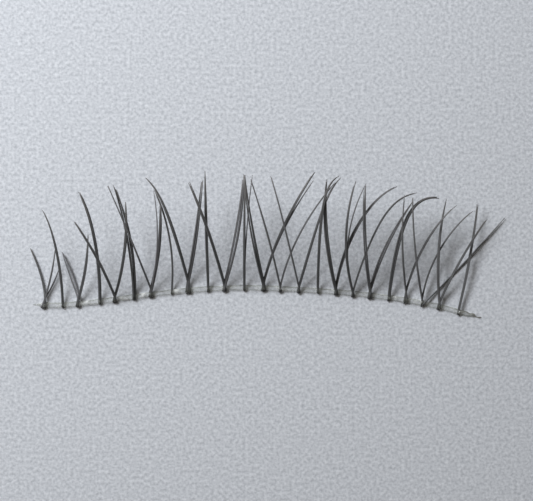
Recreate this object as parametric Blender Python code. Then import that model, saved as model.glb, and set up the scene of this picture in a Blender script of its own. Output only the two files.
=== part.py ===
"""A strip of false eyelashes that lies on a table, lashes rising from it, in metres.

The clear band runs along X with its flat underside at height zero. Twenty-four clusters of
lashes sit in grooves across its top: the lashes of a cluster cross at a knot just off the band,
fan out along +Y and arch up off the table, apart from the low ones at both ends.
"""

import math
from collections import namedtuple

import bmesh
import bpy
from mathutils import Vector

# The band
BAND_LENGTH = 0.0340
BAND_RISE = 0.00229
BAND_WIDTH = 0.00040
BAND_HEIGHT = 0.00026
BAND_SIDE_HEIGHT = 0.00013
TAIL_SHARE = 0.38
SWELL_SHARE = 0.14
SHOULDER_ACROSS_SHARE = 0.62
SHOULDER_UP_SHARE = 0.92
LAST_NECK_SHARE = 0.80
GROOVE_CLEARANCE = 0.00003
GROOVE_RUNOUT = 0.00012
SLIVER = 0.0000015

# The lashes
LASH_REACH = 0.00907
LASH_WIDTH = 0.00023
KNOT_OUT = 0.00046
FOOT_PAST_BAND = 0.00008
ROOT_ABOVE_BAND = 0.00003
FLOOR_CLEARANCE = 0.00001
LIFT_HEIGHT = 0.00042
BELLY_SHARE = 0.35
ARCH_HEIGHT = 0.00310
ARCH_POWER = 2.2
TIP_WIDTH_SHARE = 0.36
HOOK_POWER = 6
HOOK_FLATTEN = 1.5
LASH_STEPS = 11
LASH_STEP_EASE = 1.25
LIFT_RUN_SHARE = 0.30
KNOT_STEP_SHARE = 0.02

# The band's bow seen from above: place along it and rise, as shares of length and rise
Station = namedtuple("Station", "along rise")
BAND_STATIONS = [
    Station(0.00, 0.44),
    Station(0.06, 0.42),
    Station(0.15, 0.55),
    Station(0.26, 0.77),
    Station(0.36, 0.93),
    Station(0.47, 1.00),
    Station(0.58, 0.95),
    Station(0.70, 0.83),
    Station(0.80, 0.66),
    Station(0.90, 0.40),
    Station(1.00, 0.00),
]

# Where each cluster's knot sits, as a share of the band's length
CLUSTER_ALONG = [
    0.025, 0.065, 0.100, 0.148, 0.182, 0.225, 0.263, 0.310,
    0.346, 0.391, 0.428, 0.472, 0.515, 0.552, 0.594, 0.637,
    0.677, 0.715, 0.754, 0.797, 0.834, 0.870, 0.909, 0.954,
]

# One row a lash. Shares: knot of KNOT_OUT, width of LASH_WIDTH, lift of LIFT_HEIGHT, and
# the tip's side and out, the bow and the hook of LASH_REACH. Stand is how much of
# ARCH_HEIGHT it rises by.
Lash = namedtuple("Lash", "cluster knot side out bow hook width lift stand")
LASHES = [
    Lash(1, 1.10, -0.126, 0.420, 0.024, 0.000, 0.80, 0.0, 0.02),
    Lash(1, 1.10, 0.092, 0.445, 0.013, 0.000, 0.80, 0.0, 0.45),
    Lash(1, 1.10, 0.118, 0.244, 0.008, 0.000, 0.50, 0.0, 0.15),
    Lash(2, 1.00, -0.160, 0.748, 0.030, -0.020, 1.00, 0.0, 0.75),
    Lash(3, 0.70, -0.143, 0.403, 0.014, 0.000, 1.00, 0.0, 0.05),
    Lash(3, 0.70, 0.088, 0.546, 0.021, 0.000, 1.00, 0.0, 0.72),
    Lash(4, 1.00, -0.168, 0.866, 0.041, -0.020, 1.10, 0.0, 0.92),
    Lash(5, 0.50, -0.328, 0.626, 0.029, 0.000, 0.95, 2.2, 1.00),
    Lash(5, 0.50, 0.097, 0.790, 0.042, 0.000, 0.95, 0.5, 1.00),
    Lash(6, 1.20, -0.161, 0.874, 0.039, 0.000, 1.50, 0.0, 1.00),
    Lash(7, 0.80, -0.351, 0.866, 0.010, 0.000, 0.70, 1.8, 1.00),
    Lash(7, 0.80, 0.086, 0.706, 0.025, 0.000, 1.20, 0.0, 1.00),
    Lash(7, 0.80, 0.031, 0.824, 0.041, 0.000, 0.40, 1.0, 1.00),
    Lash(8, 1.20, -0.145, 0.790, 0.049, -0.010, 0.80, 0.0, 0.95),
    Lash(9, 1.60, -0.349, 0.857, 0.019, -0.050, 1.00, 1.0, 1.00),
    Lash(9, 1.60, 0.122, 0.840, 0.012, 0.000, 1.10, 0.0, 1.00),
    Lash(10, 0.95, -0.026, 0.937, 0.000, 0.000, 1.00, 0.0, 1.00),
    Lash(11, 0.55, -0.292, 0.857, 0.018, 0.000, 1.00, 1.0, 1.00),
    Lash(11, 0.55, 0.160, 0.924, 0.028, 0.000, 1.15, 0.0, 1.00),
    Lash(12, 0.80, 0.004, 0.900, 0.000, 0.000, 0.90, 0.6, 1.00),
    Lash(12, 0.80, 0.069, 0.903, -0.013, 0.000, 0.45, 0.5, 1.00),
    Lash(13, 0.70, -0.158, 0.908, -0.020, 0.000, 1.15, 1.5, 1.00),
    Lash(13, 0.70, 0.424, 0.933, -0.050, 0.000, 1.15, 0.0, 1.00),
    Lash(13, 0.70, 0.416, 0.861, -0.053, 0.000, 0.60, 0.0, 1.00),
    Lash(14, 0.30, -0.248, 0.899, 0.013, 0.000, 0.75, 1.0, 1.00),
    Lash(14, 0.30, 0.454, 0.874, -0.068, 0.000, 0.80, 0.3, 1.00),
    Lash(15, 0.35, -0.235, 0.929, 0.005, 0.000, 0.75, 1.0, 1.00),
    Lash(15, 0.35, 0.345, 0.916, -0.005, 0.050, 0.90, 0.0, 1.00),
    Lash(16, 1.00, 0.168, 0.906, -0.019, 0.090, 0.90, 2.5, 1.00),
    Lash(17, 0.50, -0.084, 0.916, -0.042, 0.000, 1.10, 2.1, 0.95),
    Lash(17, 0.50, 0.504, 0.857, -0.079, 0.060, 1.15, 0.0, 0.95),
    Lash(18, 0.30, 0.019, 0.924, -0.071, 0.000, 0.90, 1.0, 0.90),
    Lash(18, 0.30, 0.103, 0.903, -0.094, 0.000, 0.45, 1.0, 0.90),
    Lash(18, 0.30, 0.528, 0.824, -0.040, 0.110, 0.80, 0.0, 0.90),
    Lash(19, 0.75, -0.050, 0.882, -0.026, 0.000, 1.00, 1.6, 0.85),
    Lash(19, 0.75, 0.350, 0.748, -0.042, 0.000, 1.10, 0.0, 0.80),
    Lash(20, 0.85, 0.408, 0.796, -0.035, 0.160, 1.25, 0.0, 0.75),
    Lash(21, 1.50, -0.021, 0.803, -0.028, 0.000, 0.80, 1.8, 0.70),
    Lash(21, 1.50, 0.416, 0.723, -0.055, 0.020, 0.85, 0.0, 0.60),
    Lash(22, 0.70, -0.088, 0.849, -0.023, 0.000, 0.80, 2.1, 0.60),
    Lash(22, 0.70, 0.420, 0.735, -0.074, 0.020, 0.80, 0.0, 0.36),
    Lash(22, -0.40, 0.693, 0.735, 0.015, 0.000, 0.65, 0.0, 0.02),
    Lash(23, 0.80, 0.055, 0.866, -0.037, 0.000, 1.00, 1.0, 0.27),
    Lash(23, 0.80, 0.395, 0.697, -0.025, 0.000, 1.00, 0.8, 0.20),
    Lash(24, 0.95, 0.147, 0.857, 0.015, 0.000, 0.95, 0.5, 0.12),
]


def band_rise(along):
    """The band's bow at a share of its length: a smooth curve through the stations."""
    last = len(BAND_STATIONS) - 2
    first = max(i for i in range(last + 1) if i == 0 or BAND_STATIONS[i].along <= along)
    a = BAND_STATIONS[max(first - 1, 0)]
    b = BAND_STATIONS[first]
    c = BAND_STATIONS[first + 1]
    d = BAND_STATIONS[min(first + 2, last + 1)]
    span = c.along - b.along
    slope_b = (c.rise - a.rise) / (c.along - a.along) * span
    slope_c = (d.rise - b.rise) / (d.along - b.along) * span
    t = (along - b.along) / span
    leaving = (2 * t**3 - 3 * t**2 + 1) * b.rise + (t**3 - 2 * t**2 + t) * slope_b
    arriving = (3 * t**2 - 2 * t**3) * c.rise + (t**3 - t**2) * slope_c
    return leaving + arriving


def band_point(along):
    """A point of the band's centre line on its underside."""
    return Vector(((along - 0.5) * BAND_LENGTH, band_rise(along) * BAND_RISE, 0.0))


def smooth_step(share):
    t = min(max(share, 0.0), 1.0)
    return t * t * (3.0 - 2.0 * t)


def lash_plan(lash, t):
    """Sideways and outward distance of a lash from its knot, seen from above."""
    flatten = HOOK_FLATTEN * abs(lash.hook)
    late = t**HOOK_POWER
    side = (lash.side - lash.hook) * t + lash.hook * late + lash.bow * 4 * t * (1 - t)
    out = lash.out * ((1 + flatten) * t - flatten * late)
    return side * LASH_REACH, out * LASH_REACH


def lash_height(lash, t):
    """Height of a lash's centre line: it rises off the band and levels out toward its tip."""
    root = BAND_HEIGHT + ROOT_ABOVE_BAND
    belly = lash.width * LASH_WIDTH / 2 + FLOOR_CLEARANCE
    sink = max(1 - t / BELLY_SHARE, 0.0)
    away = min(lash_plan(lash, t)[1] / LASH_REACH, 1.0)
    rise = lash.stand * ARCH_HEIGHT * (1 - (1 - away) ** ARCH_POWER)
    lift = lash.lift * LIFT_HEIGHT * smooth_step(t / LIFT_RUN_SHARE)
    return belly + (root - belly) * sink**2 + rise + lift


def knot_point(lash):
    along = CLUSTER_ALONG[lash.cluster - 1]
    return band_point(along) + Vector((0.0, lash.knot * KNOT_OUT, 0.0))


def foot_points(lash):
    """The straight root from the cut end of the foot, across the band, to the knot."""
    knot = knot_point(lash)
    side, out = lash_plan(lash, KNOT_STEP_SHARE)
    lean = side / out
    foot_out = BAND_WIDTH / 2 + FOOT_PAST_BAND + lash.knot * KNOT_OUT
    knot.z = lash_height(lash, 0.0)
    foot = knot - Vector((lean * foot_out, foot_out, 0.0))
    return foot, knot


def lash_points(lash):
    """The centre line of a lash from its foot to its tip, with its radius at each point."""
    foot, knot = foot_points(lash)
    root_radius = lash.width * LASH_WIDTH / 2
    points = [(foot, root_radius)]
    for step in range(LASH_STEPS + 1):
        t = 1 - (1 - step / LASH_STEPS) ** LASH_STEP_EASE
        side, out = lash_plan(lash, t)
        place = Vector((knot.x + side, knot.y + out, lash_height(lash, t)))
        taper = 1 - (1 - TIP_WIDTH_SHARE) * t**2
        points.append((place, root_radius * taper))
    return points


def material(name, colour, roughness, transmission=0.0):
    made = bpy.data.materials.new(name)
    made.use_nodes = True
    shader = made.node_tree.nodes["Principled BSDF"]
    shader.inputs["Base Color"].default_value = (*colour, 1.0)
    shader.inputs["Roughness"].default_value = roughness
    shader.inputs["Metallic"].default_value = 0.0
    shader.inputs["Transmission Weight"].default_value = transmission
    return made


def collection(name):
    made = bpy.data.collections.new(name)
    bpy.context.scene.collection.children.link(made)
    return made


def swept(name, points, group, profile=None):
    """A closed mesh swept along points with a radius each: round, or with a given profile."""
    data = bpy.data.curves.new(name + "_path", "CURVE")
    data.dimensions = "3D"
    data.twist_mode = "Z_UP"
    data.use_fill_caps = True
    if profile:
        data.bevel_mode = "OBJECT"
        data.bevel_object = profile
    else:
        data.bevel_depth = 1.0
        data.bevel_resolution = 1
    spline = data.splines.new("POLY")
    spline.points.add(len(points) - 1)
    for point, (place, radius) in zip(spline.points, points):
        point.co = (*place, 1.0)
        point.radius = radius
    path = bpy.data.objects.new(name + "_path", data)
    group.objects.link(path)
    evaluated = path.evaluated_get(bpy.context.evaluated_depsgraph_get())
    mesh = bpy.data.meshes.new_from_object(evaluated)
    mesh.name = name
    bpy.data.objects.remove(path)
    welded = bmesh.new()
    welded.from_mesh(mesh)
    bmesh.ops.remove_doubles(welded, verts=welded.verts, dist=1e-7)
    bmesh.ops.recalc_face_normals(welded, faces=welded.faces)
    welded.to_mesh(mesh)
    welded.free()
    made = bpy.data.objects.new(name, mesh)
    group.objects.link(made)
    return made


def hide_helper(helper):
    helper.hide_render = True
    helper.display_type = "WIRE"


def add_boolean(target, operand, operation):
    hide_helper(operand)
    modifier = target.modifiers.new(operand.name, "BOOLEAN")
    modifier.operation = operation
    modifier.solver = "EXACT"
    modifier.object = operand


def close_slivers(target):
    """Merges the points that a cut or a union leaves on top of each other."""
    weld = target.modifiers.new("close_slivers", "WELD")
    weld.merge_threshold = SLIVER


def fused(name, point_lists, group, cutters):
    """Several swept tubes united into one body."""
    whole = swept(name, point_lists[0], group)
    for number, points in enumerate(point_lists[1:], start=2):
        add_boolean(whole, swept(f"{name}_lash_{number}", points, cutters), "UNION")
    close_slivers(whole)
    return whole


def band_section():
    """The band's D-shaped section at unit radius: flat underneath, rounded on top."""
    half = BAND_WIDTH / 2
    outline = [
        (-half, 0.0),
        (half, 0.0),
        (half, BAND_SIDE_HEIGHT),
        (half * SHOULDER_ACROSS_SHARE, BAND_HEIGHT * SHOULDER_UP_SHARE),
        (0.0, BAND_HEIGHT),
        (-half * SHOULDER_ACROSS_SHARE, BAND_HEIGHT * SHOULDER_UP_SHARE),
        (-half, BAND_SIDE_HEIGHT),
    ]
    data = bpy.data.curves.new("band_section", "CURVE")
    data.dimensions = "2D"
    spline = data.splines.new("POLY")
    spline.points.add(len(outline) - 1)
    spline.use_cyclic_u = True
    for point, (across, up) in zip(spline.points, outline):
        point.co = (across, up, 0.0, 1.0)
    return bpy.data.objects.new("band_section", data)


def band_points():
    """The band's path: thin at both tails, swollen at each cluster, slim between them."""
    places = [(0.0, TAIL_SHARE), (1.0, TAIL_SHARE)]
    places += [(along, 1.0 + SWELL_SHARE) for along in CLUSTER_ALONG]
    for here, after in zip(CLUSTER_ALONG, CLUSTER_ALONG[1:]):
        places.append(((here + after) / 2, 1.0))
    places.append(((1.0 + CLUSTER_ALONG[-1]) / 2, LAST_NECK_SHARE))
    return [(band_point(along), share) for along, share in sorted(places)]


def make_band(lashes_by_cluster, group, cutters):
    profile = band_section()
    cutters.objects.link(profile)
    band = swept("band", band_points(), group, profile)
    bpy.data.objects.remove(profile)
    for number, lashes in lashes_by_cluster.items():
        channels = []
        for lash in lashes:
            radius = lash.width * LASH_WIDTH / 2 + GROOVE_CLEARANCE
            foot, knot = foot_points(lash)
            reach = (foot - knot).normalized() * GROOVE_RUNOUT
            beyond = lash_points(lash)[2][0]
            channels.append([(foot + reach, radius), (knot, radius), (beyond, radius)])
        groove = fused(f"groove_{number:02d}", channels, cutters, cutters)
        add_boolean(band, groove, "DIFFERENCE")
    close_slivers(band)
    return band


def centre_on_origin(root, pieces):
    """Moves the whole strip so that the origin is under the middle of its box."""
    graph = bpy.context.evaluated_depsgraph_get()
    corners = []
    for piece in pieces:
        seen = piece.evaluated_get(graph)
        corners += [seen.matrix_world @ Vector(corner) for corner in seen.bound_box]
    low = [min(corner[axis] for corner in corners) for axis in range(2)]
    high = [max(corner[axis] for corner in corners) for axis in range(2)]
    root.location = (-(low[0] + high[0]) / 2, -(low[1] + high[1]) / 2, 0.0)


def main():
    for old in list(bpy.data.objects):
        bpy.data.objects.remove(old)
    group = collection("false_eyelash_strip")
    cutters = collection("strip_cutters")
    fibre = material("black_lash_fibre", (0.022, 0.022, 0.026), 0.45)
    glue = material("clear_band", (0.80, 0.83, 0.80), 0.25, transmission=0.7)

    lashes_by_cluster = {}
    for lash in LASHES:
        lashes_by_cluster.setdefault(lash.cluster, []).append(lash)

    pieces = []
    for number, lashes in lashes_by_cluster.items():
        paths = [lash_points(lash) for lash in lashes]
        cluster = fused(f"lash_cluster_{number:02d}", paths, group, cutters)
        cluster.data.materials.append(fibre)
        cluster.data.shade_smooth()
        pieces.append(cluster)
    band = make_band(lashes_by_cluster, group, cutters)
    band.data.materials.append(glue)
    pieces.append(band)

    root = bpy.data.objects.new("strip_origin", None)
    group.objects.link(root)
    for made in pieces + list(cutters.objects):
        made.parent = root
    centre_on_origin(root, pieces)


main()
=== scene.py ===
"""A strip of false eyelashes on a pale floor: bundles of dark fibres in a clear glue band.

The fibres follow the same paths as the lash clusters that they stand for. Lengths are in
metres, and shares are of the size that is named beside them.
"""

import math
import random
from collections import namedtuple

import bpy
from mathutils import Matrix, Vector


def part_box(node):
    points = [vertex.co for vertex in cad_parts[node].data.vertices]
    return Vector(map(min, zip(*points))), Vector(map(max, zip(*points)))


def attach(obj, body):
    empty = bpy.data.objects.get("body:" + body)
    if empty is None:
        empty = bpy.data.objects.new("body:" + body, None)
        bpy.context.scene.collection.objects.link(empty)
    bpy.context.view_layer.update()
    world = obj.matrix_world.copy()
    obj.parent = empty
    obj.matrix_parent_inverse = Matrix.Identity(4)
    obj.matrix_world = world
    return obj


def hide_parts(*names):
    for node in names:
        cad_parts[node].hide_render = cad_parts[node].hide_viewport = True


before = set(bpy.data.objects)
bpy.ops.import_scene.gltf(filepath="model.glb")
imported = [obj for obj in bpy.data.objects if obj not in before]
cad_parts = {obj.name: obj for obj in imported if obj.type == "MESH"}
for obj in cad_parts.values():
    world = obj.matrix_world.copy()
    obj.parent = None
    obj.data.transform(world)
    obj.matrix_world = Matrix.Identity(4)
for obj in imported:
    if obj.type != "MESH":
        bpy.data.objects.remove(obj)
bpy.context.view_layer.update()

# The band
BAND_LENGTH = 0.0340
BAND_RISE = 0.00229
BAND_WIDTH = 0.00040
BAND_HEIGHT = 0.00026
BAND_SWELL = 0.14
BAND_SWELL_RUN = 0.008
BAND_STEPS = 170
BAND_SECTION_POINTS = 24
BAND_WAVER = 0.05
QUICK_WAVER = 61.0
SLOW_WAVER = 23.0
SLOW_WAVER_START = 1.0
TAIL_SHARE = 0.30
TAIL_RUN = 0.030
BROWN_TAIL_FROM = 0.0142

# The glue. The fillet's and the lumps' sizes are shares of the band's width, and the skin
# over them is melted at GLUE_SCALE times its size.
FILLET_SEED = 7
FILLET_LONG = 0.34
FILLET_LONG_A_LASH = 0.10
FILLET_WIDE = 0.46
FILLET_HIGH = (0.52, 0.66)
FILLET_ACROSS = (-0.1, 0.2)
FILLET_MIDDLE = 0.20
LUMP_MIDDLE = 0.25
BEAD_SEGMENTS = 20
BEAD_RINGS = 12
GLUE_OFF_FLOOR = 0.000004
CUT_THRESHOLD = 1e-8
GLUE_SCALE = 100.0
GLUE_VOXEL = 0.0030
GLUE_SOFTENING = 0.5
GLUE_SOFTENINGS = 6

# The lashes
LASH_REACH = 0.00907
LASH_WIDTH = 0.00023
KNOT_OUT = 0.00046
FOOT_PAST_BAND = 0.00008
ROOT_ABOVE_BAND = 0.00003
FLOOR_CLEARANCE = 0.00001
LIFT_HEIGHT = 0.00042
BELLY_SHARE = 0.35
ARCH_HEIGHT = 0.00310
ARCH_POWER = 2.2
TIP_WIDTH_SHARE = 0.36
HOOK_POWER = 6
HOOK_FLATTEN = 1.5
LIFT_RUN_SHARE = 0.30
KNOT_STEP_SHARE = 0.02

# One fibre
FIBRE_SIDES = 8
FIBRE_STEPS = 26
FIBRE_RADIUS = 0.000050
FIBRE_RADII = (0.85, 1.15)
FIBRE_SHADES = (-0.15, 0.15)
CUT_END_WIDTH = 0.90
CUT_END_GROWTH = 0.10
CUT_END_RUN = 0.05
TIP_THINNING = 0.55
TIP_THINNING_POWER = 7

# A bundle of fibres. Its fibres end within FIBRE_ENDS of their lash, and their cut ends
# within FOOT_CUTS of their foot.
CLUSTER_SEED = 100
FIBRES_A_WIDTH = 5.4
FEWEST_FIBRES = 2
BUNDLE_TURN = 2.4
BUNDLE_FIRST_RING = 0.35
BUNDLE_FULLNESS = 1.14
FIBRE_ENDS = (0.94, 1.0)
FOOT_CUTS = (-1.0, -0.82)
FOOT_SPLAY = 0.70
FOOT_SINK = 0.00018
GUIDE_POINTS = 30
FOOT_POINTS_SHARE = 0.08
LOOK_AHEAD = 0.01
TIP_PACKING_POWER = 4
PARTING_POWER = 0.8
WAVE_SHARE = 0.16
WAVE_SIDEWAYS = 5.0
WAVE_UPWARD = 4.0
STRAYS = (-0.5, 0.5)
STRAY_SHARE = 0.5
STRAY_POWER = 6
FLOOR_REST = 1.2

# The short cut ends at the root of a cluster, between its lashes
STUB_PLACES = (0.3, 0.5, 0.7)
STUB_FOOT = 0.94
STUB_TOP = 0.035
STUB_RADII = (0.95, 1.15)
STUB_SHADES = (-0.1, 0.1)

# Where the photograph's frame lies on the floor
PHOTO_PIXELS = 533
BAND_PIXELS = 446
PHOTO_WIDTH = PHOTO_PIXELS * BAND_LENGTH / BAND_PIXELS
VIEW_X = -0.000059
VIEW_Y = -0.000401
LENS = 300.0
SENSOR = 36.0
NEAREST = 0.01
FARTHEST = 10.0
FLOOR_SIZE = 3.0

# The lights: bearing from the strip, height in degrees, distance, and the lamp's size
Lamp = namedtuple("Lamp", "name bearing height distance width depth energy color")
LAMPS = [
    Lamp("side_light", (-0.76, 0.65, 0.0), 41, 0.18, 0.080, 0.080, 0.248, (0.93, 0.96, 1.0)),
    Lamp("long_light", (-0.60, 0.80, 0.0), 42, 0.16, 0.24, 0.12, 0.135, (0.92, 0.96, 1.0)),
]
SKY_COLOR = (1.0, 0.92, 0.82, 1.0)
SKY_STRENGTH = 0.12

# The band's bow seen from above: place along it and rise, as shares of length and rise
Station = namedtuple("Station", "along rise")
BAND_STATIONS = [
    Station(0.00, 0.44),
    Station(0.06, 0.42),
    Station(0.15, 0.55),
    Station(0.26, 0.77),
    Station(0.36, 0.93),
    Station(0.47, 1.00),
    Station(0.58, 0.95),
    Station(0.70, 0.83),
    Station(0.80, 0.66),
    Station(0.90, 0.40),
    Station(1.00, 0.00),
]

# Lumps of dried glue on the band. Along is a share of the band's length and across a share
# of half its width. Long, wide and high are half the lump's sizes, as shares of its width.
Lump = namedtuple("Lump", "along across long wide high")
GLUE_LUMPS = [
    Lump(0.004, 0.0, 0.60, 0.16, 0.16),
    Lump(0.045, -0.3, 0.50, 0.22, 0.30),
    Lump(0.124, 0.4, 0.70, 0.20, 0.26),
    Lump(0.205, -0.3, 0.80, 0.24, 0.34),
    Lump(0.243, 0.4, 0.45, 0.22, 0.36),
    Lump(0.284, 0.5, 0.50, 0.26, 0.52),
    Lump(0.297, 0.2, 0.30, 0.26, 0.44),
    Lump(0.330, 0.5, 0.42, 0.28, 0.56),
    Lump(0.371, 0.4, 0.46, 0.26, 0.52),
    Lump(0.410, -0.2, 0.60, 0.20, 0.34),
    Lump(0.450, 0.4, 0.36, 0.24, 0.42),
    Lump(0.493, 0.3, 0.70, 0.22, 0.34),
    Lump(0.533, -0.3, 0.50, 0.24, 0.36),
    Lump(0.574, 0.4, 0.40, 0.22, 0.44),
    Lump(0.616, -0.1, 0.70, 0.24, 0.34),
    Lump(0.658, 0.3, 0.42, 0.26, 0.46),
    Lump(0.697, 0.1, 0.34, 0.40, 0.54),
    Lump(0.731, 0.1, 0.42, 0.36, 0.58),
    Lump(0.741, -0.4, 0.30, 0.22, 0.40),
    Lump(0.775, 0.2, 0.60, 0.24, 0.36),
    Lump(0.816, -0.2, 0.44, 0.24, 0.42),
    Lump(0.853, 0.3, 0.56, 0.22, 0.38),
    Lump(0.890, 0.1, 0.60, 0.26, 0.44),
    Lump(0.932, 0.3, 0.50, 0.26, 0.42),
    Lump(0.967, 0.2, 0.60, 0.40, 0.50),
    Lump(0.982, 0.3, 0.60, 0.34, 0.44),
    Lump(0.998, 0.1, 0.50, 0.14, 0.22),
]

# Where each cluster's knot sits, as a share of the band's length
CLUSTER_ALONG = [
    0.025, 0.065, 0.100, 0.148, 0.182, 0.225, 0.263, 0.310,
    0.346, 0.391, 0.428, 0.472, 0.515, 0.552, 0.594, 0.637,
    0.677, 0.715, 0.754, 0.797, 0.834, 0.870, 0.909, 0.954,
]

# One row a lash. Shares: knot of KNOT_OUT, width of LASH_WIDTH, lift of LIFT_HEIGHT, and
# the tip's side and out, the bow and the hook of LASH_REACH. Stand is how much of
# ARCH_HEIGHT it rises by. Parting is how far its two halves stand apart along the middle,
# of LASH_WIDTH, and pale is how light its fibres are.
Lash = namedtuple("Lash", "cluster knot side out bow hook width lift stand parting pale")
LASHES = [
    Lash(1, 1.10, -0.126, 0.420, 0.024, 0.000, 0.80, 0.0, 0.02, 0.0, 0.1),
    Lash(1, 1.10, 0.092, 0.445, 0.013, 0.000, 0.80, 0.0, 0.45, 0.0, 0.3),
    Lash(1, 1.10, 0.118, 0.244, 0.008, 0.000, 0.50, 0.0, 0.15, 0.0, 0.7),
    Lash(2, 1.00, -0.160, 0.748, 0.030, -0.020, 1.00, 0.0, 0.75, 0.0, 0.0),
    Lash(3, 0.70, -0.143, 0.403, 0.014, 0.000, 0.75, 0.0, 0.05, 0.9, 0.7),
    Lash(3, 0.70, 0.088, 0.546, 0.021, 0.000, 1.00, 0.0, 0.72, 0.1, 0.1),
    Lash(4, 1.00, -0.168, 0.866, 0.041, -0.020, 1.10, 0.0, 0.92, 0.1, 0.0),
    Lash(5, 0.50, -0.328, 0.626, 0.029, 0.000, 0.95, 2.2, 1.00, 0.1, 0.1),
    Lash(5, 0.50, 0.097, 0.790, 0.042, 0.000, 0.95, 0.5, 1.00, 0.1, 0.1),
    Lash(6, 1.20, -0.161, 0.874, 0.039, 0.000, 1.50, 0.0, 1.00, 0.4, 0.0),
    Lash(7, 0.80, -0.351, 0.866, 0.010, 0.000, 0.80, 1.8, 1.00, 0.0, 0.2),
    Lash(7, 0.80, 0.086, 0.706, 0.025, 0.000, 1.05, 0.0, 1.00, 0.1, 0.1),
    Lash(7, 0.80, 0.031, 0.824, 0.041, 0.000, 0.40, 1.0, 1.00, 0.0, 0.7),
    Lash(8, 1.20, -0.145, 0.790, 0.049, -0.010, 0.80, 0.0, 0.95, 0.0, 0.2),
    Lash(9, 1.60, -0.349, 0.857, 0.019, -0.050, 1.00, 1.0, 1.00, 0.1, 0.0),
    Lash(9, 1.60, 0.122, 0.840, 0.012, 0.000, 1.10, 0.0, 1.00, 0.3, 0.2),
    Lash(10, 0.95, -0.026, 0.937, 0.000, 0.000, 1.00, 0.0, 1.00, 0.1, 0.0),
    Lash(11, 0.55, -0.292, 0.857, 0.018, 0.000, 1.00, 1.0, 1.00, 0.1, 0.0),
    Lash(11, 0.55, 0.160, 0.924, 0.028, 0.000, 1.15, 0.0, 1.00, 0.5, 0.3),
    Lash(12, 0.80, 0.004, 0.900, 0.000, 0.000, 0.90, 0.6, 1.00, 0.0, 0.0),
    Lash(12, 0.80, 0.069, 0.903, -0.013, 0.000, 0.45, 0.5, 1.00, 0.0, 0.8),
    Lash(13, 0.70, -0.158, 0.908, -0.020, 0.000, 1.15, 1.5, 1.00, 0.3, 0.0),
    Lash(13, 0.70, 0.424, 0.933, -0.050, 0.000, 0.90, 0.0, 1.00, 0.1, 0.1),
    Lash(13, 0.70, 0.416, 0.861, -0.053, 0.000, 0.60, 0.0, 1.00, 0.0, 0.2),
    Lash(14, 0.30, -0.248, 0.899, 0.013, 0.000, 0.75, 1.0, 1.00, 0.0, 0.2),
    Lash(14, 0.30, 0.454, 0.874, -0.068, 0.000, 0.80, 0.3, 1.00, 0.0, 0.2),
    Lash(15, 0.35, -0.235, 0.929, 0.005, 0.000, 0.75, 1.0, 1.00, 0.0, 0.2),
    Lash(15, 0.35, 0.345, 0.916, -0.005, 0.050, 0.90, 0.0, 1.00, 0.1, 0.1),
    Lash(16, 1.00, 0.168, 0.906, -0.019, 0.090, 0.90, 2.5, 1.00, 0.1, 0.0),
    Lash(17, 0.50, -0.084, 0.916, -0.042, 0.000, 1.10, 2.1, 0.95, 0.2, 0.1),
    Lash(17, 0.50, 0.504, 0.857, -0.079, 0.060, 0.90, 0.0, 0.95, 0.3, 0.1),
    Lash(18, 0.30, 0.019, 0.924, -0.071, 0.000, 0.90, 1.0, 0.90, 0.1, 0.1),
    Lash(18, 0.30, 0.103, 0.903, -0.094, 0.000, 0.45, 1.0, 0.90, 0.0, 0.5),
    Lash(18, 0.30, 0.528, 0.824, -0.040, 0.110, 0.80, 0.0, 0.90, 0.0, 0.1),
    Lash(19, 0.75, -0.050, 0.882, -0.026, 0.000, 1.00, 1.6, 0.85, 0.3, 0.1),
    Lash(19, 0.75, 0.350, 0.748, -0.042, 0.000, 0.95, 0.0, 0.80, 0.4, 0.1),
    Lash(20, 0.85, 0.408, 0.796, -0.035, 0.160, 1.05, 0.0, 0.75, 0.3, 0.0),
    Lash(21, 1.50, -0.021, 0.803, -0.028, 0.000, 0.80, 1.8, 0.70, 0.0, 0.2),
    Lash(21, 1.50, 0.416, 0.723, -0.055, 0.020, 0.75, 0.0, 0.60, 0.1, 0.1),
    Lash(22, 0.70, -0.088, 0.849, -0.023, 0.000, 0.80, 2.1, 0.60, 0.0, 0.2),
    Lash(22, 0.70, 0.420, 0.735, -0.074, 0.020, 0.70, 0.0, 0.36, 0.0, 0.1),
    Lash(22, -0.40, 0.693, 0.735, 0.015, 0.000, 0.50, 0.0, 0.02, 0.0, 0.0),
    Lash(23, 0.80, 0.055, 0.866, -0.037, 0.000, 0.85, 1.0, 0.27, 0.1, 0.2),
    Lash(23, 0.80, 0.395, 0.697, -0.025, 0.000, 0.80, 0.8, 0.20, 0.1, 0.1),
    Lash(24, 0.95, 0.147, 0.857, 0.015, 0.000, 0.85, 0.5, 0.12, 0.1, 0.1),
]


def strip_shift():
    """How far the strip was moved to stand its box on the origin, read from the band's box."""
    low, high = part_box("band")
    top = BAND_RISE + BAND_WIDTH / 2 * (1 + BAND_SWELL)
    return Vector((low[0] + BAND_LENGTH / 2, high[1] - top, 0.0))


SHIFT = strip_shift()


def deselect_all():
    if bpy.context.object and bpy.context.object.mode != "OBJECT":
        bpy.ops.object.mode_set(mode="OBJECT")
    bpy.ops.object.select_all(action="DESELECT")


def select_only(pieces):
    deselect_all()
    for piece in pieces:
        piece.select_set(True)
    bpy.context.view_layer.objects.active = pieces[0]


def apply_place(piece):
    select_only([piece])
    bpy.ops.object.transform_apply(location=True, rotation=True, scale=True)


def apply_modifier(piece, modifier):
    select_only([piece])
    bpy.ops.object.modifier_apply(modifier=modifier.name)


def copy_of(piece):
    copied = piece.copy()
    copied.data = piece.data.copy()
    bpy.context.scene.collection.objects.link(copied)
    return copied


def joined(name, pieces):
    select_only(pieces)
    if len(pieces) > 1:
        bpy.ops.object.join()
    whole = bpy.context.object
    whole.name = name
    whole.data.name = name
    return whole


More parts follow.
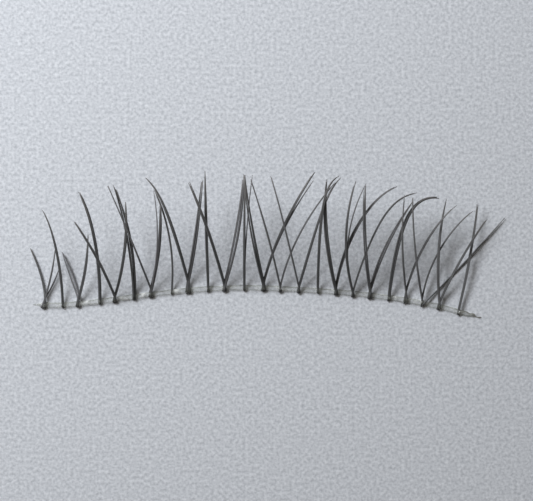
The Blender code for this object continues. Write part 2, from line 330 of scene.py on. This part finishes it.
def finish_piece(piece, nodes):
    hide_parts(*nodes)
    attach(piece, "root")


# The paths of the band and the lashes


def band_rise(along):
    """The band's bow at a share of its length: a smooth curve through the stations."""
    last = len(BAND_STATIONS) - 2
    first = max(i for i in range(last + 1) if i == 0 or BAND_STATIONS[i].along <= along)
    a = BAND_STATIONS[max(first - 1, 0)]
    b = BAND_STATIONS[first]
    c = BAND_STATIONS[first + 1]
    d = BAND_STATIONS[min(first + 2, last + 1)]
    span = c.along - b.along
    slope_b = (c.rise - a.rise) / (c.along - a.along) * span
    slope_c = (d.rise - b.rise) / (d.along - b.along) * span
    t = (along - b.along) / span
    leaving = (2 * t**3 - 3 * t**2 + 1) * b.rise + (t**3 - 2 * t**2 + t) * slope_b
    arriving = (3 * t**2 - 2 * t**3) * c.rise + (t**3 - t**2) * slope_c
    return leaving + arriving


def band_point(along):
    """A point of the band's centre line on its underside."""
    return SHIFT + Vector(((along - 0.5) * BAND_LENGTH, band_rise(along) * BAND_RISE, 0.0))


def smooth_step(share):
    t = min(max(share, 0.0), 1.0)
    return t * t * (3.0 - 2.0 * t)


def lash_plan(lash, t):
    """Sideways and outward distance of a lash from its knot, seen from above."""
    flatten = HOOK_FLATTEN * abs(lash.hook)
    late = t**HOOK_POWER
    side = (lash.side - lash.hook) * t + lash.hook * late + lash.bow * 4 * t * (1 - t)
    out = lash.out * ((1 + flatten) * t - flatten * late)
    return side * LASH_REACH, out * LASH_REACH


def lash_height(lash, t):
    """Height of a lash's centre line: it rises off the band and levels out toward its tip."""
    root = BAND_HEIGHT + ROOT_ABOVE_BAND
    belly = lash.width * LASH_WIDTH / 2 + FLOOR_CLEARANCE
    sink = max(1 - t / BELLY_SHARE, 0.0)
    away = min(lash_plan(lash, t)[1] / LASH_REACH, 1.0)
    rise = lash.stand * ARCH_HEIGHT * (1 - (1 - away) ** ARCH_POWER)
    lift = lash.lift * LIFT_HEIGHT * smooth_step(t / LIFT_RUN_SHARE)
    return belly + (root - belly) * sink**2 + rise + lift


def lash_place(lash, t):
    """A point of a lash's centre line: from its foot at -1 to its knot at 0 and its tip at 1."""
    along = CLUSTER_ALONG[lash.cluster - 1]
    knot = band_point(along) + Vector((0.0, lash.knot * KNOT_OUT, 0.0))
    if t < 0:
        side, out = lash_plan(lash, KNOT_STEP_SHARE)
        foot_out = BAND_WIDTH / 2 + FOOT_PAST_BAND + lash.knot * KNOT_OUT
        step = Vector((-side / out * foot_out * FOOT_SPLAY, -foot_out, 0.0)) * -t
        sunk = lash_height(lash, 0.0) + t * FOOT_SINK
        return knot + step + Vector((0.0, 0.0, sunk))
    side, out = lash_plan(lash, t)
    return knot + Vector((side, out, lash_height(lash, t)))


# The fibres


def model_fibre():
    """One straight fibre along Z, one unit long and wide, drawn out ring by ring to its tip."""
    deselect_all()
    bpy.ops.mesh.primitive_circle_add(vertices=FIBRE_SIDES, radius=1.0, fill_type="NGON")
    fibre = bpy.context.object
    bpy.ops.object.mode_set(mode="EDIT")
    bpy.ops.mesh.select_all(action="SELECT")
    width = 1.0
    for step in range(1, FIBRE_STEPS + 1):
        here = step / FIBRE_STEPS
        after = fibre_width(here)
        bpy.ops.mesh.extrude_region_move(
            TRANSFORM_OT_translate={"value": (0.0, 0.0, 1.0 / FIBRE_STEPS)}
        )
        ratio = after / width
        bpy.ops.transform.resize(value=(ratio, ratio, 1.0))
        width = after
    bpy.ops.mesh.select_all(action="SELECT")
    bpy.ops.mesh.normals_make_consistent(inside=False)
    bpy.ops.object.mode_set(mode="OBJECT")
    fibre.data.shade_smooth()
    along = fibre.data.attributes.new("along", "FLOAT", "POINT")
    for point, vertex in zip(along.data, fibre.data.vertices):
        point.value = vertex.co.z
    return fibre


def fibre_width(here):
    """A fibre's width along it: a blunt cut root, a long even shaft and a drawn-out tip."""
    root = CUT_END_WIDTH + CUT_END_GROWTH * min(here / CUT_END_RUN, 1.0)
    return root * (1.0 - TIP_THINNING * here**TIP_THINNING_POWER)


def guide_curve(points):
    data = bpy.data.curves.new("fibre_guide", "CURVE")
    data.dimensions = "3D"
    data.twist_mode = "Z_UP"
    spline = data.splines.new("POLY")
    spline.points.add(len(points) - 1)
    for point, place in zip(spline.points, points):
        point.co = (*place, 1.0)
    guide = bpy.data.objects.new("fibre_guide", data)
    bpy.context.scene.collection.objects.link(guide)
    return guide


def lay_fibre(pattern, points, radius, shade):
    """A copy of the straight fibre, bent along the points."""
    length = sum((b - a).length for a, b in zip(points, points[1:]))
    fibre = copy_of(pattern)
    fibre.scale = (radius, radius, length)
    apply_place(fibre)
    tone = fibre.data.attributes.new("tone", "FLOAT", "POINT")
    tone.data.foreach_set("value", [shade] * len(tone.data))
    guide = guide_curve(points)
    bend = fibre.modifiers.new("bend", "CURVE")
    bend.object = guide
    bend.deform_axis = "POS_Z"
    apply_modifier(fibre, bend)
    bpy.data.objects.remove(guide)
    return fibre


def bundle_offsets(count):
    """Where the fibres of a bundle lie in its round section, at unit radius."""
    places = []
    for number in range(count):
        angle = number * BUNDLE_TURN
        reach = math.sqrt((number + BUNDLE_FIRST_RING) / count)
        places.append((reach * math.cos(angle), reach * math.sin(angle)))
    return places


def fibre_path(lash, offset, dice, end):
    """The path of one fibre inside its lash: packed at the root, loose along its middle."""
    across, up = offset
    half = lash.parting * LASH_WIDTH / 2 * (1 if across > 0 else -1)
    wander = [dice.uniform(0, math.tau) for _ in range(2)]
    stray = [dice.uniform(*STRAYS) for _ in range(2)]
    reach = lash.width * LASH_WIDTH / 2 * BUNDLE_FULLNESS
    cut = dice.uniform(*FOOT_CUTS)
    points = []
    for number in range(GUIDE_POINTS):
        share = number / (GUIDE_POINTS - 1)
        if share < FOOT_POINTS_SHARE:
            t = cut * (1 - share / FOOT_POINTS_SHARE)
        else:
            t = end * (share - FOOT_POINTS_SHARE) / (1 - FOOT_POINTS_SHARE)
        here = lash_place(lash, t)
        ahead = lash_place(lash, min(t + LOOK_AHEAD, 1.0))
        behind = lash_place(lash, max(t - LOOK_AHEAD, -1.0))
        run = (ahead - behind).normalized()
        sideways = run.cross(Vector((0.0, 0.0, 1.0))).normalized()
        upward = sideways.cross(run)
        late = max(t, 0.0)
        own = FIBRE_RADIUS * (1.0 - TIP_THINNING * late**TIP_THINNING_POWER)
        taper = 1 - (1 - TIP_WIDTH_SHARE) * late**TIP_PACKING_POWER
        pack = max(reach * taper - own, 0.0)
        part = half * math.sin(math.pi * min(late, 1.0)) ** PARTING_POWER
        wave = WAVE_SHARE * reach * late
        x = across * pack + part + wave * math.sin(WAVE_SIDEWAYS * late + wander[0])
        y = up * pack + wave * math.sin(WAVE_UPWARD * late + wander[1])
        x += stray[0] * reach * STRAY_SHARE * late**STRAY_POWER
        y += stray[1] * reach * STRAY_SHARE * late**STRAY_POWER
        place = here + sideways * x + upward * y
        place.z = max(place.z, FIBRE_RADIUS * FLOOR_REST + FLOOR_CLEARANCE)
        points.append(place)
    return points


def make_stubs(pattern, lashes, dice):
    """Short cut ends that fill the root of a cluster between its lashes."""
    stubs = []
    for share in STUB_PLACES:
        points = []
        for step in range(GUIDE_POINTS):
            t = -STUB_FOOT + (STUB_FOOT + STUB_TOP) * step / (GUIDE_POINTS - 1)
            left = lash_place(lashes[0], t)
            right = lash_place(lashes[1], t)
            points.append(left.lerp(right, share))
        radius = FIBRE_RADIUS * dice.uniform(*STUB_RADII)
        stubs.append(lay_fibre(pattern, points, radius, dice.uniform(*STUB_SHADES)))
    return stubs


def lashes_of(number):
    return [lash for lash in LASHES if lash.cluster == number]


def make_clusters(pattern):
    """Each cluster's bundles, laid fibre by fibre and joined to one piece."""
    clusters = []
    for number in range(1, len(CLUSTER_ALONG) + 1):
        dice = random.Random(CLUSTER_SEED + number)
        lashes = lashes_of(number)
        fibres = []
        for lash in lashes:
            count = max(round(lash.width * FIBRES_A_WIDTH), FEWEST_FIBRES)
            for place, offset in enumerate(bundle_offsets(count)):
                end = 1.0 if place == 0 else dice.uniform(*FIBRE_ENDS)
                path = fibre_path(lash, offset, dice, end)
                radius = FIBRE_RADIUS * dice.uniform(*FIBRE_RADII)
                shade = lash.pale + dice.uniform(*FIBRE_SHADES)
                fibres.append(lay_fibre(pattern, path, radius, shade))
        if len(lashes) > 1:
            fibres += make_stubs(pattern, lashes, dice)
        cluster = joined(f"lash_fibres_{number:02d}", fibres)
        finish_piece(cluster, [f"lash_cluster_{number:02d}"])
        clusters.append(cluster)
    return clusters


# The clear band


def band_width_share(along):
    """The band's width along it: thin tails, swollen at each cluster, wavering between."""
    tail = min(along / TAIL_RUN, (1 - along) / TAIL_RUN, 1.0)
    swell = sum(math.exp(-(((along - at) / BAND_SWELL_RUN) ** 2)) for at in CLUSTER_ALONG)
    slow = math.sin(along * SLOW_WAVER + SLOW_WAVER_START)
    waver = BAND_WAVER * math.sin(along * QUICK_WAVER) * slow
    thinned = TAIL_SHARE + (1 - TAIL_SHARE) * smooth_step(tail)
    return thinned * (1 + BAND_SWELL * swell + waver)


def model_band():
    """The plain band: a half round drawn out along X and bent to its bow."""
    deselect_all()
    bpy.ops.mesh.primitive_circle_add(
        vertices=BAND_SECTION_POINTS,
        radius=1.0,
        fill_type="NGON",
        rotation=(0.0, math.pi / 2, 0.0),
    )
    band = bpy.context.object
    apply_place(band)
    bpy.ops.object.mode_set(mode="EDIT")
    bpy.ops.mesh.select_all(action="SELECT")
    bpy.ops.mesh.bisect(plane_co=(0, 0, 0), plane_no=(0, 0, 1), clear_inner=True)
    bpy.ops.mesh.select_all(action="SELECT")
    start = band_width_share(0.0)
    bpy.ops.transform.resize(
        value=(1.0, start * BAND_WIDTH / 2, start * BAND_HEIGHT), center_override=(0, 0, 0)
    )
    width = start
    for step in range(1, BAND_STEPS + 1):
        after = band_width_share(step / BAND_STEPS)
        bpy.ops.mesh.extrude_region_move(
            TRANSFORM_OT_translate={"value": (BAND_LENGTH / BAND_STEPS, 0.0, 0.0)}
        )
        ratio = after / width
        at = (step * BAND_LENGTH / BAND_STEPS, 0.0, 0.0)
        bpy.ops.transform.resize(value=(1.0, ratio, ratio), center_override=at)
        width = after
    bpy.ops.mesh.select_all(action="SELECT")
    bpy.ops.mesh.normals_make_consistent(inside=False)
    bpy.ops.object.mode_set(mode="OBJECT")
    guide = guide_curve([band_point(step / BAND_STEPS) for step in range(BAND_STEPS + 1)])
    bend = band.modifiers.new("bow", "CURVE")
    bend.object = guide
    bend.deform_axis = "POS_X"
    apply_modifier(band, bend)
    bpy.data.objects.remove(guide)
    return band


def add_bead(place, long, wide, high):
    """A drop of glue that sits across the band: a round drop, flattened and sunk into it."""
    deselect_all()
    bpy.ops.mesh.primitive_uv_sphere_add(
        segments=BEAD_SEGMENTS, ring_count=BEAD_RINGS, radius=1.0
    )
    bead = bpy.context.object
    bpy.ops.object.mode_set(mode="EDIT")
    bpy.ops.mesh.select_all(action="SELECT")
    bpy.ops.transform.resize(value=(long, wide, high), center_override=(0, 0, 0))
    bpy.ops.transform.translate(value=place)
    bpy.ops.mesh.select_all(action="SELECT")
    bpy.ops.mesh.bisect(
        plane_co=(0, 0, GLUE_OFF_FLOOR),
        plane_no=(0, 0, 1),
        clear_inner=True,
        use_fill=True,
        threshold=CUT_THRESHOLD,
    )
    bpy.ops.object.mode_set(mode="OBJECT")
    return bead


def make_beads():
    """A fillet of glue round every cluster's roots, and the lumps between them."""
    beads = []
    dice = random.Random(FILLET_SEED)
    for number, along in enumerate(CLUSTER_ALONG, start=1):
        long = (FILLET_LONG + FILLET_LONG_A_LASH * len(lashes_of(number))) * BAND_WIDTH
        place = band_point(along)
        place.y += dice.uniform(*FILLET_ACROSS) * BAND_WIDTH
        place.z = FILLET_MIDDLE * BAND_WIDTH
        high = dice.uniform(*FILLET_HIGH) * BAND_WIDTH
        beads.append(add_bead(place, long, FILLET_WIDE * BAND_WIDTH, high))
    for lump in GLUE_LUMPS:
        place = band_point(lump.along)
        place.y += lump.across * BAND_WIDTH / 2
        place.z = LUMP_MIDDLE * lump.high * BAND_WIDTH
        size = [share * BAND_WIDTH for share in (lump.long, lump.wide, lump.high)]
        beads.append(add_bead(place, *size))
    return beads


def melt_together(name, pieces):
    """One skin over several overlapping pieces of glue, melted smooth."""
    glue = joined(name, pieces)
    glue.scale = (GLUE_SCALE,) * 3
    apply_place(glue)
    skin = glue.modifiers.new("skin", "REMESH")
    skin.mode = "VOXEL"
    skin.voxel_size = GLUE_VOXEL
    apply_modifier(glue, skin)
    soften = glue.modifiers.new("soften", "SMOOTH")
    soften.factor = GLUE_SOFTENING
    soften.iterations = GLUE_SOFTENINGS
    apply_modifier(glue, soften)
    glue.scale = (1 / GLUE_SCALE,) * 3
    apply_place(glue)
    select_only([glue])
    bpy.ops.object.shade_smooth()
    return glue


# Materials


def new_material(name):
    """A new material: its nodes, its shader and its place on the piece."""
    material = bpy.data.materials.new(name)
    material.use_nodes = True
    tree = material.node_tree
    place = tree.nodes.new("ShaderNodeTexCoord").outputs["Object"]
    return material, tree, tree.nodes["Principled BSDF"], place


def add_noise(tree, place, scale, detail):
    """A cloudy pattern on the piece, from 0 to 1."""
    noise = tree.nodes.new("ShaderNodeTexNoise")
    noise.inputs["Scale"].default_value = scale
    noise.inputs["Detail"].default_value = detail
    tree.links.new(place, noise.inputs["Vector"])
    return noise


def add_mark(tree, name):
    """A number that the mesh carries at each of its points."""
    mark = tree.nodes.new("ShaderNodeAttribute")
    mark.attribute_name = name
    return mark.outputs["Fac"]


def add_ramp(tree, value, low, high, middle=None):
    """A colour for each value: each stop is where it lies and its colour."""
    ramp = tree.nodes.new("ShaderNodeValToRGB")
    stops = ramp.color_ramp.elements
    stops[0].position, stops[0].color = low
    stops[1].position, stops[1].color = high
    if middle:
        stops.new(middle[0]).color = middle[1]
    tree.links.new(value, ramp.inputs["Fac"])
    return ramp.outputs["Color"]


def add_tint(tree, share, under, color):
    """A colour laid over another one by a share."""
    tint = tree.nodes.new("ShaderNodeMix")
    tint.data_type = "RGBA"
    tint.inputs[7].default_value = color
    tree.links.new(share, tint.inputs[0])
    tree.links.new(under, tint.inputs[6])
    return tint.outputs[2]


def add_range(tree, value, to, start=(0.0, 1.0)):
    """A value spread from one range to another."""
    spread = tree.nodes.new("ShaderNodeMapRange")
    spread.inputs["From Min"].default_value = start[0]
    spread.inputs["From Max"].default_value = start[1]
    spread.inputs["To Min"].default_value = to[0]
    spread.inputs["To Max"].default_value = to[1]
    tree.links.new(value, spread.inputs["Value"])
    return spread.outputs["Result"]


def add_bump(tree, shader, height, strength, distance):
    bump = tree.nodes.new("ShaderNodeBump")
    bump.inputs["Strength"].default_value = strength
    bump.inputs["Distance"].default_value = distance
    tree.links.new(height, bump.inputs["Height"])
    tree.links.new(bump.outputs["Normal"], shader.inputs["Normal"])


def dark_fibre():
    """Dark synthetic fibre: charcoal with a soft shine, paler and browner toward the tip."""
    material, tree, shader, place = new_material("dark_lash_fibre")
    charcoal = add_ramp(
        tree,
        add_mark(tree, "along"),
        low=(0.0, (0.070, 0.071, 0.072, 1.0)),
        high=(1.0, (0.150, 0.142, 0.136, 1.0)),
        middle=(0.72, (0.088, 0.087, 0.086, 1.0)),
    )
    shaded = add_tint(tree, add_mark(tree, "tone"), charcoal, (0.24, 0.235, 0.245, 1.0))
    tree.links.new(shaded, shader.inputs["Base Color"])
    grain = add_noise(tree, place, 9000.0, 3.0).outputs["Fac"]
    rough = add_range(tree, grain, to=(0.36, 0.58))
    tree.links.new(rough, shader.inputs["Roughness"])
    add_bump(tree, shader, grain, 0.25, 0.000004)
    shader.inputs["Specular IOR Level"].default_value = 0.45
    return material


def clear_glue():
    """Clear dried glue: glossy, with cloudy and straw patches, and browner at its right end.

    It closes up toward its edges, in its patches and at its right end.
    """
    material, tree, shader, place = new_material("clear_glue")
    shader.inputs["Roughness"].default_value = 0.10
    shader.inputs["IOR"].default_value = 1.47
    patches = add_noise(tree, place, 1500.0, 3.0).outputs["Fac"]
    straw = add_ramp(
        tree,
        patches,
        low=(0.34, (0.20, 0.21, 0.15, 1.0)),
        high=(0.66, (0.86, 0.87, 0.84, 1.0)),
        middle=(0.50, (0.50, 0.52, 0.44, 1.0)),
    )
    apart = tree.nodes.new("ShaderNodeSeparateXYZ")
    tree.links.new(place, apart.inputs["Vector"])
    right_end = (BROWN_TAIL_FROM, BAND_LENGTH / 2)
    tail = add_range(tree, apart.outputs["X"], to=(0.0, 1.0), start=right_end)
    browned = add_tint(tree, tail, straw, (0.16, 0.14, 0.11, 1.0))
    tree.links.new(browned, shader.inputs["Base Color"])
    facing = tree.nodes.new("ShaderNodeLayerWeight")
    facing.inputs["Blend"].default_value = 0.45
    veil = add_range(tree, facing.outputs["Facing"], to=(0.10, 0.52))
    cloud = add_range(tree, patches, to=(0.0, 0.55), start=(0.52, 0.72))
    both = tree.nodes.new("ShaderNodeMath")
    both.operation = "ADD"
    tree.links.new(veil, both.inputs[0])
    tree.links.new(cloud, both.inputs[1])
    closed = tree.nodes.new("ShaderNodeMath")
    closed.operation = "MULTIPLY_ADD"
    closed.inputs[1].default_value = 0.40
    tree.links.new(tail, closed.inputs[0])
    tree.links.new(both.outputs["Value"], closed.inputs[2])
    tree.links.new(closed.outputs["Value"], shader.inputs["Alpha"])
    lumps = add_noise(tree, place, 2600.0, 2.0).outputs["Fac"]
    add_bump(tree, shader, lumps, 0.5, 0.00002)
    return material


def pale_floor():
    """A smooth pale floor with a fine pressed grain."""
    material, tree, shader, place = new_material("pale_floor")
    pressed = add_noise(tree, place, 4200.0, 3.0)
    pressed.inputs["Roughness"].default_value = 0.6
    grain = pressed.outputs["Fac"]
    tint = add_ramp(
        tree,
        grain,
        low=(0.28, (0.47, 0.485, 0.515, 1.0)),
        high=(0.72, (0.79, 0.805, 0.84, 1.0)),
    )
    tree.links.new(tint, shader.inputs["Base Color"])
    add_bump(tree, shader, grain, 0.6, 0.00005)
    shader.inputs["Roughness"].default_value = 0.9
    shader.inputs["Specular IOR Level"].default_value = 0.2
    return material


# The setting


def make_floor():
    deselect_all()
    bpy.ops.mesh.primitive_plane_add(size=FLOOR_SIZE, location=(0.0, 0.0, 0.0))
    floor = bpy.context.object
    floor.name = "floor"
    floor.data.materials.append(pale_floor())


def add_lamp(lamp):
    """A soft oval light that looks at the strip from its bearing and height."""
    toward = Vector(lamp.bearing).normalized() * math.cos(math.radians(lamp.height))
    toward.z = math.sin(math.radians(lamp.height))
    data = bpy.data.lights.new(lamp.name, "AREA")
    data.shape = "ELLIPSE"
    data.size = lamp.width
    data.size_y = lamp.depth
    data.energy = lamp.energy
    data.color = lamp.color
    light = bpy.data.objects.new(lamp.name, data)
    bpy.context.scene.collection.objects.link(light)
    light.location = Vector((VIEW_X, VIEW_Y, 0.0)) + toward * lamp.distance
    light.rotation_euler = (-toward).to_track_quat("-Z", "Y").to_euler()
    light.visible_camera = False


def make_lights():
    """Two soft lights from the upper left, one of them long, and a dim warm sky."""
    for lamp in LAMPS:
        add_lamp(lamp)
    world = bpy.data.worlds.new("warm_sky")
    bpy.context.scene.world = world
    world.use_nodes = True
    sky = world.node_tree.nodes["Background"]
    sky.inputs["Color"].default_value = SKY_COLOR
    sky.inputs["Strength"].default_value = SKY_STRENGTH
    bpy.context.scene.view_settings.view_transform = "Standard"


def make_camera():
    data = bpy.data.cameras.new("camera")
    data.lens = LENS
    data.sensor_width = SENSOR
    data.clip_start = NEAREST
    data.clip_end = FARTHEST
    camera = bpy.data.objects.new("camera", data)
    bpy.context.scene.collection.objects.link(camera)
    camera.location = (VIEW_X, VIEW_Y, PHOTO_WIDTH / SENSOR * LENS)
    bpy.context.scene.camera = camera


def main():
    make_camera()
    make_floor()
    make_lights()
    pattern = model_fibre()
    clusters = make_clusters(pattern)
    bpy.data.objects.remove(pattern)
    fibre_finish = dark_fibre()
    for cluster in clusters:
        cluster.data.materials.append(fibre_finish)
    band = melt_together("band_glue", [model_band()] + make_beads())
    band.data.materials.append(clear_glue())
    finish_piece(band, ["band"])


main()
